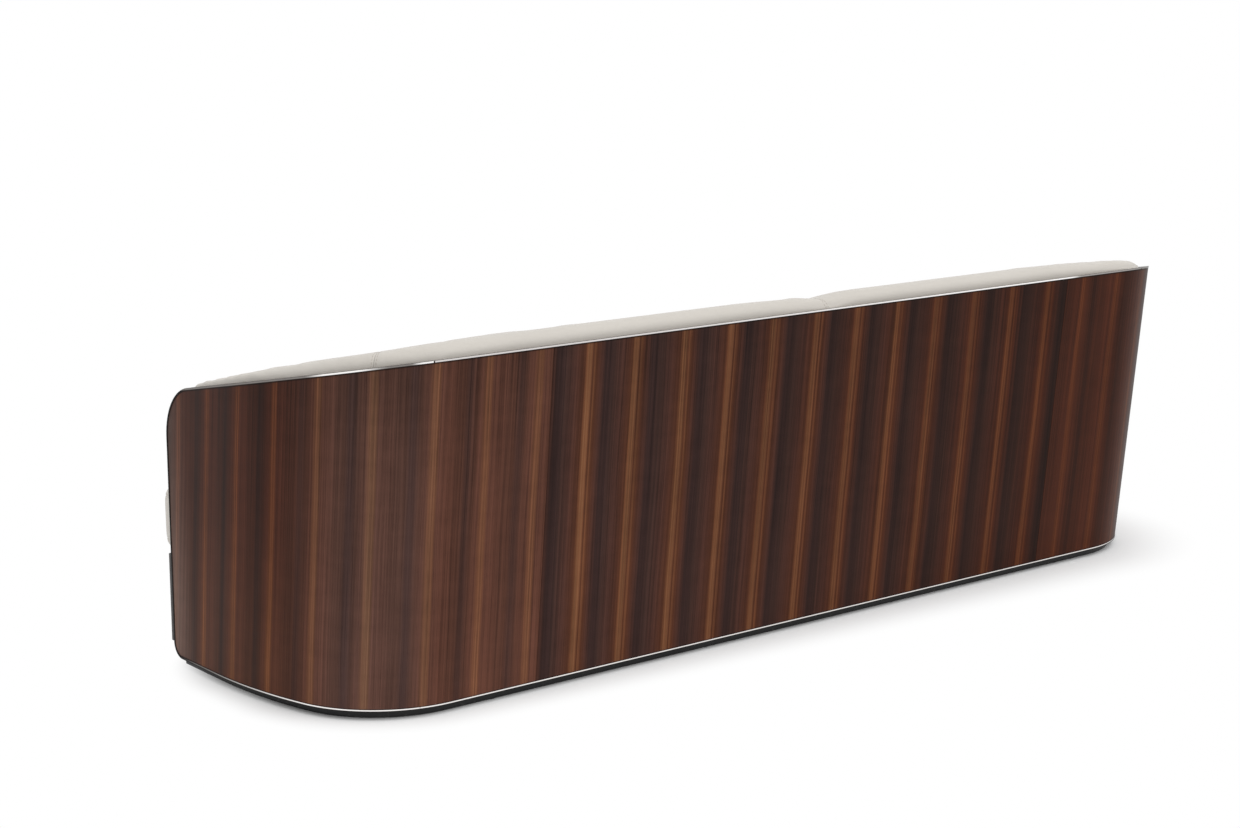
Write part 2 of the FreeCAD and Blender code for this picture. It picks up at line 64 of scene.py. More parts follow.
class Shade:
    """A socket in a material. Sums written on it add the nodes that work them out."""

    def __init__(self, tree, socket):
        self.tree = tree
        self.socket = socket

    def node(self, kind, settings, inputs, output=0):
        made = self.tree.nodes.new("ShaderNode" + kind)
        for name, value in settings.items():
            if name == "stops":
                ramp = made.color_ramp.elements
                while len(ramp) < len(value):
                    ramp.new(0.5)
                for stop, (position, colour) in zip(ramp, value):
                    stop.position = position
                    stop.color = colour
            else:
                setattr(made, name, value)
        for name, value in inputs.items():
            if isinstance(value, Shade):
                self.tree.links.new(value.socket, made.inputs[name])
            else:
                made.inputs[name].default_value = value
        return Shade(self.tree, made.outputs[output])

    def math(self, operation, *others):
        values = dict(enumerate((self,) + others))
        return self.node("Math", {"operation": operation}, values)

    def __add__(self, other):
        return self.math("ADD", other)

    __radd__ = __add__

    def __sub__(self, other):
        return self.math("SUBTRACT", other)

    def __rsub__(self, other):
        return self.node("Math", {"operation": "SUBTRACT"}, {0: other, 1: self})

    def __mul__(self, other):
        return self.math("MULTIPLY", other)

    __rmul__ = __mul__

    def __truediv__(self, other):
        return self.math("DIVIDE", other)

    def axes(self):
        return [self.node("SeparateXYZ", {}, {0: self}, output=axis) for axis in range(3)]

    def point(self, x, y, z):
        return self.node("CombineXYZ", {}, {0: x, 1: y, 2: z})

    def noise(self, scale, detail=2.0, rough=0.5):
        inputs = {"Vector": self, "Scale": scale, "Detail": detail, "Roughness": rough}
        return self.node("TexNoise", {}, inputs)

    def ramp(self, low, high):
        """0 below low and 1 above high, eased between."""
        settings = {"interpolation_type": "SMOOTHSTEP"}
        return self.node("MapRange", settings, {0: self, 1: low, 2: high})

    def blend(self, first, second):
        """A colour that goes from the first to the second as this value goes from 0 to 1."""
        return self.node("Mix", {"data_type": "RGBA"}, {0: self, 6: first, 7: second}, output=2)

    def stained(self, stain):
        """This colour under another, as stain darkens or warms wood."""
        settings = {"data_type": "RGBA", "blend_type": "MULTIPLY"}
        return self.node("Mix", settings, {0: 1.0, 6: self, 7: stain}, output=2)

    def bump(self, depth):
        return self.node("Bump", {}, {"Distance": depth, "Height": self})


def tone(code):
    """A colour as shaders take it, from its six-figure screen code."""
    parts = [int(code[start:start + 2], 16) / 255 for start in (0, 2, 4)]
    linear = [part / 12.92 if part < 0.04045 else ((part + 0.055) / 1.055) ** 2.4 for part in parts]
    return tuple(linear) + (1,)


def new_finish(name, **fixed):
    """A new material, the place on the piece to paint by, and a way to feed its shader."""
    material = bpy.data.materials.new(name)
    material.use_nodes = True
    tree = material.node_tree
    shader = tree.nodes["Principled BSDF"]
    for socket, value in fixed.items():
        shader.inputs[socket.replace("_", " ")].default_value = value
    start = tree.nodes.new("ShaderNodeTexCoord")
    place = Shade(tree, start.outputs["Object"])

    def feed(**sockets):
        for socket, value in sockets.items():
            tree.links.new(value.socket, shader.inputs[socket.replace("_", " ")])

    return material, place, feed


def dress(material, *names):
    """Give CAD pieces that keep their shape a finish."""
    for name in names:
        for holder in nodes[name].material_slots:
            holder.material = material


black_lacquer, place, feed = new_finish("black_lacquer", Specular_IOR_Level=0.35)
height = place.axes()[2]
scuffs = place.noise(90, 4).ramp(0.56, 0.75) * (1 - height.ramp(0.004, 0.016))
mottle = place.noise(11, 3)
feed(Base_Color=scuffs.blend(mottle.blend(tone("0b0b0c"), tone("151516")), tone("3a3937")),
     Roughness=0.30 + 0.16 * mottle + 0.25 * scuffs,
     Normal=(place.noise(420, 2) * 0.4 + mottle).bump(0.0002))
dress(black_lacquer, "plinth_back_board", "plinth_left_board", "plinth_right_board",
      "plinth_front_board", "back_bottom_plate", "left_bottom_plate", "right_bottom_plate",
      "front_bottom_plate", "left_arm_stile", "right_arm_stile")

# Floor glides: round black nylon discs nailed under the plinth boards. Moulded, so faintly pebbled,
# and worn paler underneath.
glide_nylon, place, feed = new_finish("glide_nylon")
wear = place.noise(260, 3)
feed(Base_Color=wear.blend(tone("161616"), tone("2b2a29")), Roughness=0.55 + 0.2 * wear,
     Normal=place.noise(1500, 2).bump(0.0001))
dress(glide_nylon, "floor_glides")

# Dust cover: thin black spun cloth stapled under the seat box, which hides the webbing from below. It is
# a mat of fine crossed fibres, a little slack.
dust_cloth, place, feed = new_finish("dust_cloth", Specular_IOR_Level=0.1)
fibres = place.noise(900, 4, 0.7)
folds = place.noise(7, 2)
feed(Base_Color=fibres.blend(tone("121213"), tone("2a2a2b")), Roughness=0.85 + 0.1 * fibres,
     Normal=(fibres * 0.2 + folds).bump(0.0008))
dress(dust_cloth, "dust_cover")

# Timber inside: beech rails, posts, bearers and bent rails, planed and left bare. The grain runs
# along each piece, so it is drawn along X, along Y or upright.


def beech_finish(name, along):
    """Bare beech whose grain runs along one axis."""
    material, place, feed = new_finish(name, Specular_IOR_Level=0.25)
    grain_stretch = 0.045
    stretch = [1.0, 1.0, 1.0]
    stretch[along] = grain_stretch
    spread = place.node("VectorMath", {"operation": "MULTIPLY"}, {0: place, 1: tuple(stretch)})
    rings = spread.noise(42, 4, 0.6)
    pores = spread.noise(420, 2).ramp(0.60, 0.72)
    colour = rings.blend(tone("b98f62"), tone("d9b98c"))
    feed(Base_Color=(pores * 0.5).blend(colour, tone("8a6440")), Roughness=0.58 + 0.2 * rings,
         Normal=(rings * 0.4 - pores).bump(0.0004))
    return material


beech_lengthwise = beech_finish("beech_lengthwise", 0)
beech_crosswise = beech_finish("beech_crosswise", 1)
beech_upright = beech_finish("beech_upright", 2)
dress(beech_lengthwise, "front_rail", "back_rail", "top_rail_back", "left_corner_board",
      "right_corner_board")
dress(beech_crosswise, "plinth_bearers", "cross_rails", "left_side_rail", "right_side_rail",
      "left_top_rail", "right_top_rail")
dress(beech_upright, "back_posts", "left_arm_posts", "right_arm_posts")

# Plywood inside: the thin boards behind the padding. Rotary cut birch, with wide flame grain on the
# faces and thin light and dark plies showing at cut edges.
plies_per_metre = 700
birch_ply, place, feed = new_finish("birch_ply", Specular_IOR_Level=0.2)
across, deep, height = place.axes()
bands = (height * plies_per_metre).math("FRACT").ramp(0.42, 0.58)
flame = place.point(across * 0.35, deep * 2.2, height * 2.2).noise(6, 5, 0.6)
figure = (flame * 14).math("SINE") * 0.5 + 0.5
face = figure.blend(tone("cdae80"), tone("e0c79e"))
feed(Base_Color=(bands * 0.25).blend(face, tone("96734a")), Roughness=0.6 + 0.15 * figure,
     Normal=place.noise(600, 2).bump(0.0002))
dress(birch_ply, "inner_back_board", "left_inner_board", "right_inner_board")

# Steel fittings: joint plates, their screws and the post brackets, zinc plated and passivated, with a
# cloudy blue-grey bloom.
zinc_plate, place, feed = new_finish("zinc_plate", Metallic=1.0)
bloom = place.noise(70, 4, 0.65)
feed(Base_Color=bloom.blend(tone("8f949a"), tone("b9bcbd")), Roughness=0.28 + 0.25 * bloom,
     Normal=place.noise(800, 2).bump(0.0001))
dress(zinc_plate, "shell_joint_plates", "joint_plate_screws", "post_brackets")

# Webbing: elastic straps stapled to the seat rails, twelve from front to back and four lengthwise. They
# are black, with two pale stripes woven in.
cross_straps = 12
long_straps = 4
strap_width = 0.072
strap_weave = 2600


def strap_finish(name, along, across, pitch, start):
    """Webbing whose straps run along one axis and repeat at a pitch across it."""
    material, place, feed = new_finish(name, Specular_IOR_Level=0.15)
    axes = place.axes()
    side = (((axes[across] - start) / pitch).math("FRACT") - 0.5).math("ABSOLUTE") * pitch
    stripe = side.ramp(0.016, 0.0175) * (1 - side.ramp(0.0205, 0.022))
    warp = (axes[along] * strap_weave).math("SINE")
    weft = (axes[across] * strap_weave).math("SINE")
    weave = warp * weft * 0.5 + 0.5
    colour = stripe.blend(tone("1f1e1d"), tone("a98c58"))
    feed(Base_Color=(weave * 0.35).blend(colour, tone("0d0d0d")), Roughness=0.75 + 0.2 * weave,
         Normal=weave.bump(0.0006))
    return material


cross_low, cross_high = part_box("cross_webbing")
long_low, long_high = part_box("long_webbing")
cross_pitch = (cross_high.x - cross_low.x - strap_width) / (cross_straps - 1)
long_pitch = (long_high.y - long_low.y - strap_width) / (long_straps - 1)
dress(strap_finish("cross_strap", 1, 0, cross_pitch, cross_low.x + strap_width / 2 - cross_pitch / 2),
      "cross_webbing")
dress(strap_finish("long_strap", 0, 1, long_pitch, long_low.y + strap_width / 2 - long_pitch / 2),
      "long_webbing")

# Deck pad: a firm layer over the webbing that the cushions lie on, under a tightly stretched grey lining
# cloth, plain woven.
cloth_weave = 3600
deck_cloth, place, feed = new_finish("deck_cloth", Specular_IOR_Level=0.1)
across, deep, height = place.axes()
warp = (across * cloth_weave).math("SINE") * 0.5 + 0.5
weft = (deep * cloth_weave).math("SINE") * 0.5 + 0.5
weave = warp * weft
slub = place.point(across * 6, deep * 0.4, height).noise(30, 3)
feed(Base_Color=(weave * 0.6 + slub * 0.4).blend(tone("6f6a65"), tone("968f88")),
     Roughness=0.85 + 0.1 * slub, Normal=(weave + slub * 0.5).bump(0.0005))
dress(deck_cloth, "seat_deck_pad")

# Veneered shell: moulded plywood faced with slip-matched leaves of a dark striped wood, each with one
# light streak, set parallel to the lean and finished in a thin satin lacquer. The end panels are cut
# from a redder flitch.
shell_foot = 0.020
lean = math.tan(math.radians(5.67))
straight_half = 1.046
tight_radius = 0.258
tight_turn = math.radians(74.65)
wide_radius = 1.155
back_face = 0.38251
tight_middle = (straight_half, back_face - tight_radius)
wide_shift = tight_radius - wide_radius
wide_middle = (straight_half + wide_shift * math.sin(tight_turn),
               tight_middle[1] + wide_shift * math.cos(tight_turn))
back_height = 0.785
top_slope = math.tan(math.radians(11.06))
top_edge = back_face + lean * (back_height - shell_foot)
panel_end = 0.818
joint_half = 0.0005
leaf_width = 0.1334
end_leaf_width = 0.1274
leaf_change = 0.92
first_streak = 0.050

charcoal = tone("311f1a")
dusk = tone("38241d")
umber = tone("45291f")
russet = tone("4b2919")
amber = tone("653c24")
honey = tone("6e472c")
end_dusk = tone("39241d")
end_clay = tone("472a1e")
end_chestnut = tone("553224")
end_amber = tone("613a24")
end_honey = tone("784b30")

veneer, place, feed = new_finish("veneer", Specular_IOR_Level=0.05, Coat_Roughness=0.25, Coat_IOR=1.3)
across, deep, height = place.axes()
side = across.math("ABSOLUTE")
level = deep - lean * (height - shell_foot)
tight_angle = (side - tight_middle[0]).math("ARCTAN2", level - tight_middle[1])
wide_angle = (side - wide_middle[0]).math("ARCTAN2", level - wide_middle[1])
along_back = side.math("MINIMUM", straight_half)
along_tight = tight_angle.math("MAXIMUM", 0).math("MINIMUM", tight_turn) * tight_radius
past_tight = (wide_angle - tight_turn).math("MAXIMUM", 0)
along_wide = past_tight.math("MINIMUM", math.pi / 2 - tight_turn) * wide_radius
along_arm = (wide_middle[1] - level).math("MAXIMUM", 0)
which_end = across.math("SIGN")
reach = along_back + along_tight + along_wide + along_arm
run = reach * which_end
evened = run - which_end * (reach - leaf_change).math("MAXIMUM", 0) * (1 - leaf_width / end_leaf_width)
sway = place.point(run * 2.2, height * 1.6, 0).noise(1.0, 2) - 0.5
count = (evened - first_streak) / leaf_width + 0.5 + sway * 0.10
leaf = count.math("FLOOR")
chance = leaf.node("TexWhiteNoise", {"noise_dimensions": "1D"}, {"W": leaf})
spot = count - leaf + (chance - 0.5) * 0.05
back_leaf = spot.node("ValToRGB", {"stops": [
    (0.00, dusk), (0.08, charcoal), (0.18, charcoal), (0.26, umber), (0.37, russet), (0.42, amber),
    (0.45, russet), (0.475, amber), (0.50, honey), (0.525, amber), (0.55, honey), (0.575, amber),
    (0.62, russet), (0.80, umber), (1.00, dusk)]}, {0: spot})
end_spot = 0.52 + (spot - 0.52) * which_end
end_leaf = end_spot.node("ValToRGB", {"stops": [
    (0.00, end_clay), (0.12, end_clay), (0.26, end_chestnut), (0.44, end_chestnut), (0.475, end_amber),
    (0.495, end_honey), (0.515, end_amber), (0.545, end_honey), (0.575, end_amber), (0.65, end_chestnut),
    (0.76, end_clay), (0.86, end_dusk), (0.92, end_dusk), (1.00, end_clay)]}, {0: end_spot})
# Each end panel starts at the shell's joint. Its streaks are quieter in the bend than along the arm.
end_panel = reach.ramp(panel_end - joint_half, panel_end + joint_half)
calm = 0.3 * (1 - reach.ramp(1.36, 1.50))
bare = end_panel.blend(back_leaf, calm.blend(end_leaf, tone("4e2e21")))
# Grain of every width runs up each leaf, from soft bands and fine lines to hairs and open pores.
grain_at = place.point(spot, height * 0.05, leaf * 0.13)
bands = grain_at.noise(17, 3, 0.6)
lines = grain_at.noise(42, 3, 0.65)
hair = place.point(evened, height * 0.02, leaf * 0.01).noise(1400, 2, 0.6)
pores = place.point(evened, height * 0.05, 0).noise(900, 2).ramp(0.58, 0.72)
cloud = place.point(run, height * 0.35, 0).noise(9, 3)
ripple = place.point(run * 0.5, height, 0).noise(26, 2)
fade = run.node("MapRange", {}, {0: run, 1: -0.85, 2: 0.9})
strength = 1.04 + 1.2 * (bands - 0.5) + 1.3 * (lines - 0.5) + 0.4 * (hair - 0.5) + 0.4 * (cloud - 0.5)
strength = strength + 0.3 * (ripple - 0.5) + 0.08 * (chance - 0.5) - 0.15 * pores
# The wood is darker higher up, most at the left: painted shade, with the foot painted lighter as if
# lit by the floor. A painted shadow line runs beside the strip, and the wood is also darker before
# the panels' joint.
strength = strength - (0.20 + 0.30 * fade) * (height - 0.35)
below_top = back_height - (top_edge - deep) * top_slope - height
# A painted shadow line along the wood beside the top and foot strips.
strip_shadow = 1 - below_top.ramp(0.0065, 0.0090) * (height - shell_foot).ramp(0.0060, 0.0080)
before_joint = reach.ramp(panel_end - 0.024, panel_end - 0.006) * (1 - end_panel)
strength = strength * (1 - 0.6 * strip_shadow) * (1 - 0.3 * before_joint)
# The tint is painted light. It goes from a darker red-brown at the right, where less light falls, to a
# paler grey-brown at the left, and a painted sheen makes it greyest in the bends. The arms are painted
# darker upwards as shade, and a painted sheen lies on their fronts.
light_tint = fade.blend((0.64, 0.47, 0.37, 1), (1.24, 1.376, 1.62, 1))
bend_sheen = reach.ramp(1.06, 1.18) * (1 - reach.ramp(1.28, 1.42))
light_tint = light_tint.stained((bend_sheen * (1.1 - 0.5 * height)).blend((1, 1, 1, 1), (1.05, 1.27, 1.45, 1)))
arm_shade = height.ramp(0.0, 0.5).blend((0.95, 0.95, 0.95, 1), (0.71, 0.585, 0.56, 1))
light_tint = reach.ramp(1.30, 1.52).blend(light_tint, arm_shade)
# A painted sheen on the arm fronts, strongest near the foot.
front_sheen = (1 - deep.ramp(-0.30, -0.19)) * (0.55 - 0.30 * height.ramp(0.15, 0.55))
tinted = front_sheen.blend(bare.stained(light_tint), tone("7c6a62"))
feed(Base_Color=tinted.stained(strength.point(strength, strength, strength)),
     Roughness=0.38 + 0.12 * hair, Coat_Weight=0.04 + 0.04 * cloud,
     Normal=(hair * 0.5 + lines * 0.2 - pores * 0.4).bump(0.00008))
dress(veneer, "back_shell", "left_end_shell", "right_end_shell")

# Edge strip: flat polished steel bar bent to the shell's edge and pinned on, butted where the lengths
# meet.
# Its face carries a painted reflection: bright on the back, duller on the ends but for painted
# highlights in the left bend, and painted black at the arm fronts as a dark reflection. The top is
# painted dark as shade, and a painted bright reflection runs in just a narrow line along the foot.
trim_joint = 1.118
edge_steel, place, feed = new_finish("edge_steel", Metallic=1.0, Specular_Tint=(0.6, 0.6, 0.6, 1))
across, deep, height = place.axes()
below_top = back_height - (top_edge - deep) * top_slope - height
top = 1 - below_top.ramp(0.0006, 0.0010)
face = 1 - below_top.ramp(0.0040, 0.0046)
foot_face = height.ramp(0.0219, 0.0225) * (1 - height.ramp(0.0252, 0.0258))
rub = place.noise(14, 3)
scratches = place.noise(900, 2, 0.4).ramp(0.62, 0.74)
# A painted dark reflection and shade for the arm fronts and the strip's edges, also the dark of its butt
# joints.
dark_reflection_and_joint = rub.blend(tone("1f1d1c"), tone("343130"))
# The top is painted darker, as shade between the padding and the strip.
shaded_top = rub.blend(tone("4f4b49"), tone("5b5654"))
# Painted highlights in the left bend and just past the joint on the left length.
bend_highlight = deep.ramp(0.24, 0.30) * (1 - deep.ramp(0.36, 0.41))
joint_highlight = deep.ramp(0.430, 0.442)
left_reflection = bend_highlight.math("MAXIMUM", joint_highlight).blend(tone("827d7a"), tone("fffcfa"))
# The face's painted reflection, brightest towards the right of the back and duller on the right end.
face_reflection = across.ramp(-0.9, 0.9).blend(tone("fffcfa"), tone("dcd7d5"))
face_reflection = across.ramp(trim_joint - joint_half, trim_joint + joint_half).blend(face_reflection, left_reflection)
face_reflection = across.ramp(-0.87, -0.83).blend(tone("a39e9b"), face_reflection)
off_joint = (across.math("ABSOLUTE") - trim_joint).math("ABSOLUTE")
face_reflection = off_joint.ramp(0.0010, 0.0018).blend(dark_reflection_and_joint, face_reflection)
# The foot's painted reflection, bright along the back and dull towards the arm fronts.
foot_reflection = deep.ramp(-0.20, 0.24).blend(tone("6f6b69"), tone("fffcfa"))
steel = top.blend(face.blend(foot_face.blend(dark_reflection_and_joint, foot_reflection), face_reflection), shaded_top)
# The arm fronts are painted black as a dark reflection.
feed(Base_Color=deep.ramp(-0.27, -0.19).blend(dark_reflection_and_joint, steel),
     Roughness=0.14 + 0.10 * rub + 0.12 * scratches, Normal=scratches.bump(0.00003))
dress(edge_steel, "top_trim_back", "bottom_trim_back", "left_edge_trim", "right_edge_trim")

# Apron: the front of the seat box and its short returns, hardwood sprayed with a dark grey-brown satin
# lacquer through which the pores just show.
apron_lacquer, place, feed = new_finish("apron_lacquer", Specular_IOR_Level=0.4)
across, deep, height = place.axes()
pores = place.point(across * 0.06, deep * 0.06, height).noise(520, 3).ramp(0.55, 0.7)
haze = place.noise(5, 3)
feed(Base_Color=(pores * 0.4).blend(haze.blend(tone("262321"), tone("302c2a")), tone("131211")),
     Roughness=0.34 + 0.12 * haze + 0.1 * pores, Normal=(0 - pores).bump(0.0002))
dress(apron_lacquer, "front_apron", "left_apron_return", "right_apron_return")

# Seat cores: moulded foam blocks inside the cushions, which give them their spring. Pale yellow, with
# open cells.
seat_foam, place, feed = new_finish("seat_foam", Specular_IOR_Level=0.1)
cells = place.node("TexVoronoi", {}, {"Vector": place, "Scale": 420.0})
feed(Base_Color=cells.blend(tone("d8c88c"), tone("efe3b4")), Roughness=0.85 + 0.1 * cells,
     Normal=cells.bump(0.0008))
dress(seat_foam, "left_seat_core", "right_seat_core")

# Back and arm padding: thick foam glued to the inner boards under pale greige leather. A pad lines each
# half of the back and another each arm. Their covers are sewn to each other at the middle of the back
# and at a mitre in each corner, and drawn in there.
mitre = math.radians(45)
mitre_normal = Vector((math.cos(mitre), -math.sin(mitre), lean * math.sin(mitre))).normalized()
mitre_point = Vector((tight_middle[0], tight_middle[1], shell_foot))
seam_half_gap = 0.0003
middle_normal = Vector((1, 0, 0))
middle_point = middle_normal * seam_half_gap
middle_sink = 0.0035
middle_clear = 0.08
mitre_sink = 0.0035
mitre_clear = 0.36
front_sink = 0.004
front_clear = 0.12
pad_rise = 0.007
pad_voxel = 0.012
pad_pressure = 0.5

leather, place, feed = new_finish("greige_leather", Specular_IOR_Level=0.30, Sheen_Weight=0.10,
                                  Sheen_Roughness=0.4)
pebble = place.node("TexVoronoi", {"feature": "SMOOTH_F1"}, {"Vector": place, "Scale": 620.0})
crease = place.noise(150, 3, 0.6)
mottle = place.noise(5, 3, 0.5)
colour = mottle.ramp(0.2, 0.8).blend(tone("cdc8c0"), tone("d1ccc4"))
feed(Base_Color=(pebble * 0.20).blend(colour, tone("b9afa7")),
     Roughness=0.46 + 0.12 * mottle - 0.05 * pebble,
     Normal=(crease * 0.5 - pebble * 0.6).bump(0.0004))


def alone(piece):
    """Make one piece the only one that the next step works on."""
    bpy.ops.object.select_all(action="DESELECT")
    piece.select_set(True)
    bpy.context.view_layer.objects.active = piece


def shape_by(piece, kind, **settings):
    """Add a modifier with its settings and apply it."""
    alone(piece)
    step = piece.modifiers.new(kind.lower(), kind)
    for name, value in settings.items():
        setattr(step, name, value)
    bpy.ops.object.modifier_apply(modifier=step.name)


def copy_of(source, name):
    piece = bpy.data.objects.new(name, source.data.copy())
    bpy.context.scene.collection.objects.link(piece)
    return piece


def joined_copy(name, *sources):
    """One new piece from copies of CAD pieces, with their loose triangles merged."""
    copies = [copy_of(nodes[source], name) for source in sources]
    alone(copies[0])
    for copy in copies:
        copy.select_set(True)
    if len(copies) > 1:
        bpy.ops.object.join()
    bpy.ops.object.mode_set(mode="EDIT")
    bpy.ops.mesh.select_all(action="SELECT")
    bpy.ops.mesh.remove_doubles(threshold=0.00002)
    bpy.ops.mesh.customdata_custom_splitnormals_clear()
    bpy.ops.object.mode_set(mode="OBJECT")
    return copies[0]


def even_out(piece, voxel):
    """Give a piece one closed skin of small even faces, ready to be filled."""
    shape_by(piece, "REMESH", mode="VOXEL", voxel_size=voxel)
    shape_by(piece, "SMOOTH", factor=0.5, iterations=3)


def read_points(piece):
    points = np.zeros(len(piece.data.vertices) * 3)
    piece.data.vertices.foreach_get("co", points)
    return points.reshape(-1, 3)


def read_normals(piece):
    normals = np.zeros(len(piece.data.vertices) * 3)
    piece.data.vertex_normals.foreach_get("vector", normals)
    return normals.reshape(-1, 3)


def write_points(piece, points):
    piece.data.vertices.foreach_set("co", points.ravel())
    piece.data.update()


def eased(values, low, high):
    """0 below low and 1 above high, eased between, for arrays of numbers."""
    part = np.clip((values - low) / (high - low), 0, 1)
    return part * part * (3 - 2 * part)


def fill_with_foam(piece, held, room, pressure):
    """Blow a cover up as its filling does. Points held at 1 stay, and none moves beyond its room."""
    start = read_points(piece)
    normals = read_normals(piece)
    sewn = piece.vertex_groups.new(name="sewn")
    for share in np.arange(1, 11) / 10:
        chosen = np.flatnonzero(np.abs(held - share) < 0.05)
        sewn.add(chosen.tolist(), float(share), "REPLACE")
    fill_frames = 20
    alone(piece)
    cloth = piece.modifiers.new("filling", "CLOTH")
    cloth.settings.quality = 5
    cloth.settings.mass = 0.4
    cloth.settings.tension_stiffness = 12
    cloth.settings.compression_stiffness = 12
    cloth.settings.shear_stiffness = 6
    cloth.settings.bending_stiffness = 4
    cloth.settings.shrink_min = -0.01
    cloth.settings.use_pressure = True
    cloth.settings.uniform_pressure_force = pressure
    cloth.settings.vertex_group_mass = sewn.name
    cloth.settings.effector_weights.gravity = 0
    cloth.collision_settings.use_collision = False
    cloth.point_cache.frame_start = 1
    cloth.point_cache.frame_end = fill_frames
    for number in range(1, fill_frames + 1):
        bpy.context.scene.frame_set(number)
    bpy.ops.object.modifier_apply(modifier=cloth.name)
    bpy.context.scene.frame_set(1)
    piece.vertex_groups.clear()
    risen = ((read_points(piece) - start) * normals).sum(1)
    risen = room * np.tanh(np.maximum(risen, 0) / np.maximum(room, 1e-6))
    write_points(piece, start + normals * risen[:, None])
    shape_by(piece, "SMOOTH", factor=0.5, iterations=2)


def keep_side(piece, point, normal):
    """Cut a piece at a plane, keep what the normal points to, and close the cut."""
    alone(piece)
    bpy.ops.object.mode_set(mode="EDIT")
    bpy.ops.mesh.select_all(action="SELECT")
    bpy.ops.mesh.bisect(plane_co=point, plane_no=normal, use_fill=True, clear_inner=True)
    bpy.ops.object.mode_set(mode="OBJECT")


def pinch(piece, point, normal, depth, reach):
    """Draw a cover in along a seam, most at the seam itself."""
    points = read_points(piece)
    normals = read_normals(piece)
    across = np.array(normal)
    gap = np.abs((points - np.array(point)) @ across)
    flat = normals - (normals @ across)[:, None] * across
    size = np.linalg.norm(flat, axis=1)
    flat = flat / np.maximum(size, 1e-6)[:, None] * eased(size, 0.2, 0.5)[:, None]
    write_points(piece, points - flat * (depth * (1 - eased(gap, 0, reach)))[:, None])


stitch_length = 0.0060
stitch_pitch = 0.0085
stitch_radius = 0.0006
stitch_gap = 0.0050
stitch_taper = 0.15

thread, place, feed = new_finish("linen_thread", Specular_IOR_Level=0.15)
twist = place.noise(2400, 2)
feed(Base_Color=twist.blend(tone("a79e95"), tone("c9c1b8")), Roughness=0.7 + 0.2 * twist,
     Normal=twist.bump(0.0001))


def sew(name, cover, point, normal, unseen):
    """A row of stitches where a plane cuts a cover. Points that unseen marks are left out."""
    path = copy_of(cover, name + "_path")
    alone(path)
    bpy.ops.object.mode_set(mode="EDIT")
    bpy.ops.mesh.select_all(action="SELECT")
    bpy.ops.mesh.bisect(plane_co=point, plane_no=normal, clear_inner=True, clear_outer=True)
    bpy.ops.mesh.select_all(action="DESELECT")
    bpy.ops.object.mode_set(mode="OBJECT")
    path.data.vertices.foreach_set("select", unseen(read_points(path)))
    bpy.ops.object.mode_set(mode="EDIT")
    bpy.ops.mesh.delete(type="VERT")
    bpy.ops.object.mode_set(mode="OBJECT")
    bpy.ops.object.convert(target="CURVE")
    bpy.ops.object.select_all(action="DESELECT")
    bpy.ops.mesh.primitive_cylinder_add(vertices=6, radius=stitch_radius,
                                        depth=stitch_length * (1 - 2 * stitch_taper),
                                        location=(stitch_length / 2, 0, 0), rotation=(0, math.pi / 2, 0))
    row = bpy.context.object
    row.name = name
    bpy.ops.object.transform_apply(location=True, rotation=True)
    bpy.ops.object.mode_set(mode="EDIT")
    bpy.ops.mesh.select_all(action="DESELECT")
    bpy.ops.mesh.select_mode(type="FACE")
    bpy.ops.object.mode_set(mode="OBJECT")
    row.data.polygons.foreach_set("select", [abs(face.normal.x) > 0.9 for face in row.data.polygons])
    bpy.ops.object.mode_set(mode="EDIT")
    bpy.ops.mesh.inset(thickness=stitch_radius * 0.5, depth=stitch_length * stitch_taper)
    bpy.ops.object.mode_set(mode="OBJECT")
    shape_by(row, "ARRAY", fit_type="FIT_CURVE", curve=path, use_relative_offset=False,
             use_constant_offset=True, constant_offset_displace=(stitch_pitch, 0, 0))
    shape_by(row, "CURVE", object=path, deform_axis="POS_X")
    bpy.data.objects.remove(path)
    return row


def finish_thread(row, body):
    alone(row)
    bpy.ops.object.shade_smooth_by_angle(angle=math.radians(50))
    row.data.materials.clear()
    row.data.materials.append(thread)
    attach(row, body)


def settle(piece, point, normal, depth, reach):
    """Let the top of a pad sink at a seam, most at the seam itself."""
    points = read_points(piece)
    gap = np.abs((points - np.array(point)) @ np.array(normal))
    on_top = eased(read_normals(piece)[:, 2], 0.0, 0.6)
    points[:, 2] -= depth * on_top * (1 - eased(gap, 0, reach))
    write_points(piece, points)


def finish_soft(piece, body, replaced):
    """Cover a filled piece in leather and hide the CAD piece that it stands for."""
    alone(piece)
    bpy.ops.object.shade_smooth_by_angle(angle=math.radians(50))
    piece.data.materials.clear()
    piece.data.materials.append(leather)
    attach(piece, body)
    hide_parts(replaced)


def mirror_image(piece, name):
    """The same piece for the other side of the sofa."""
    twin = copy_of(piece, name)
    twin.data.transform(Matrix.Scale(-1, 4, Vector((1, 0, 0))))
    twin.data.flip_normals()
    return twin


def wall_depth(points):
    """How far inside the shell's outer face points lie, and the level way out from there."""
    side = points[:, 0]
    level = points[:, 1] - lean * (points[:, 2] - shell_foot)
    tight = np.stack([side - tight_middle[0], level - tight_middle[1]], 1)
    wide = np.stack([side - wide_middle[0], level - wide_middle[1]], 1)
    tight_reach = np.linalg.norm(tight, axis=1)
    wide_reach = np.linalg.norm(wide, axis=1)
    on_back = side < tight_middle[0]
    on_tight = ~on_back & (np.arctan2(tight[:, 0], tight[:, 1]) < tight_turn)
    on_arm = ~on_back & ~on_tight & (level < wide_middle[1])
    depth = wide_radius - wide_reach
    out = wide / wide_reach[:, None]
    depth[on_back] = back_face - level[on_back]
    out[on_back] = (0, 1)
    depth[on_tight] = tight_radius - tight_reach[on_tight]
    out[on_tight] = tight[on_tight] / tight_reach[on_tight, None]
    depth[on_arm] = wide_middle[0] + wide_radius - side[on_arm]
    out[on_arm] = (1, 0)
    return depth, out


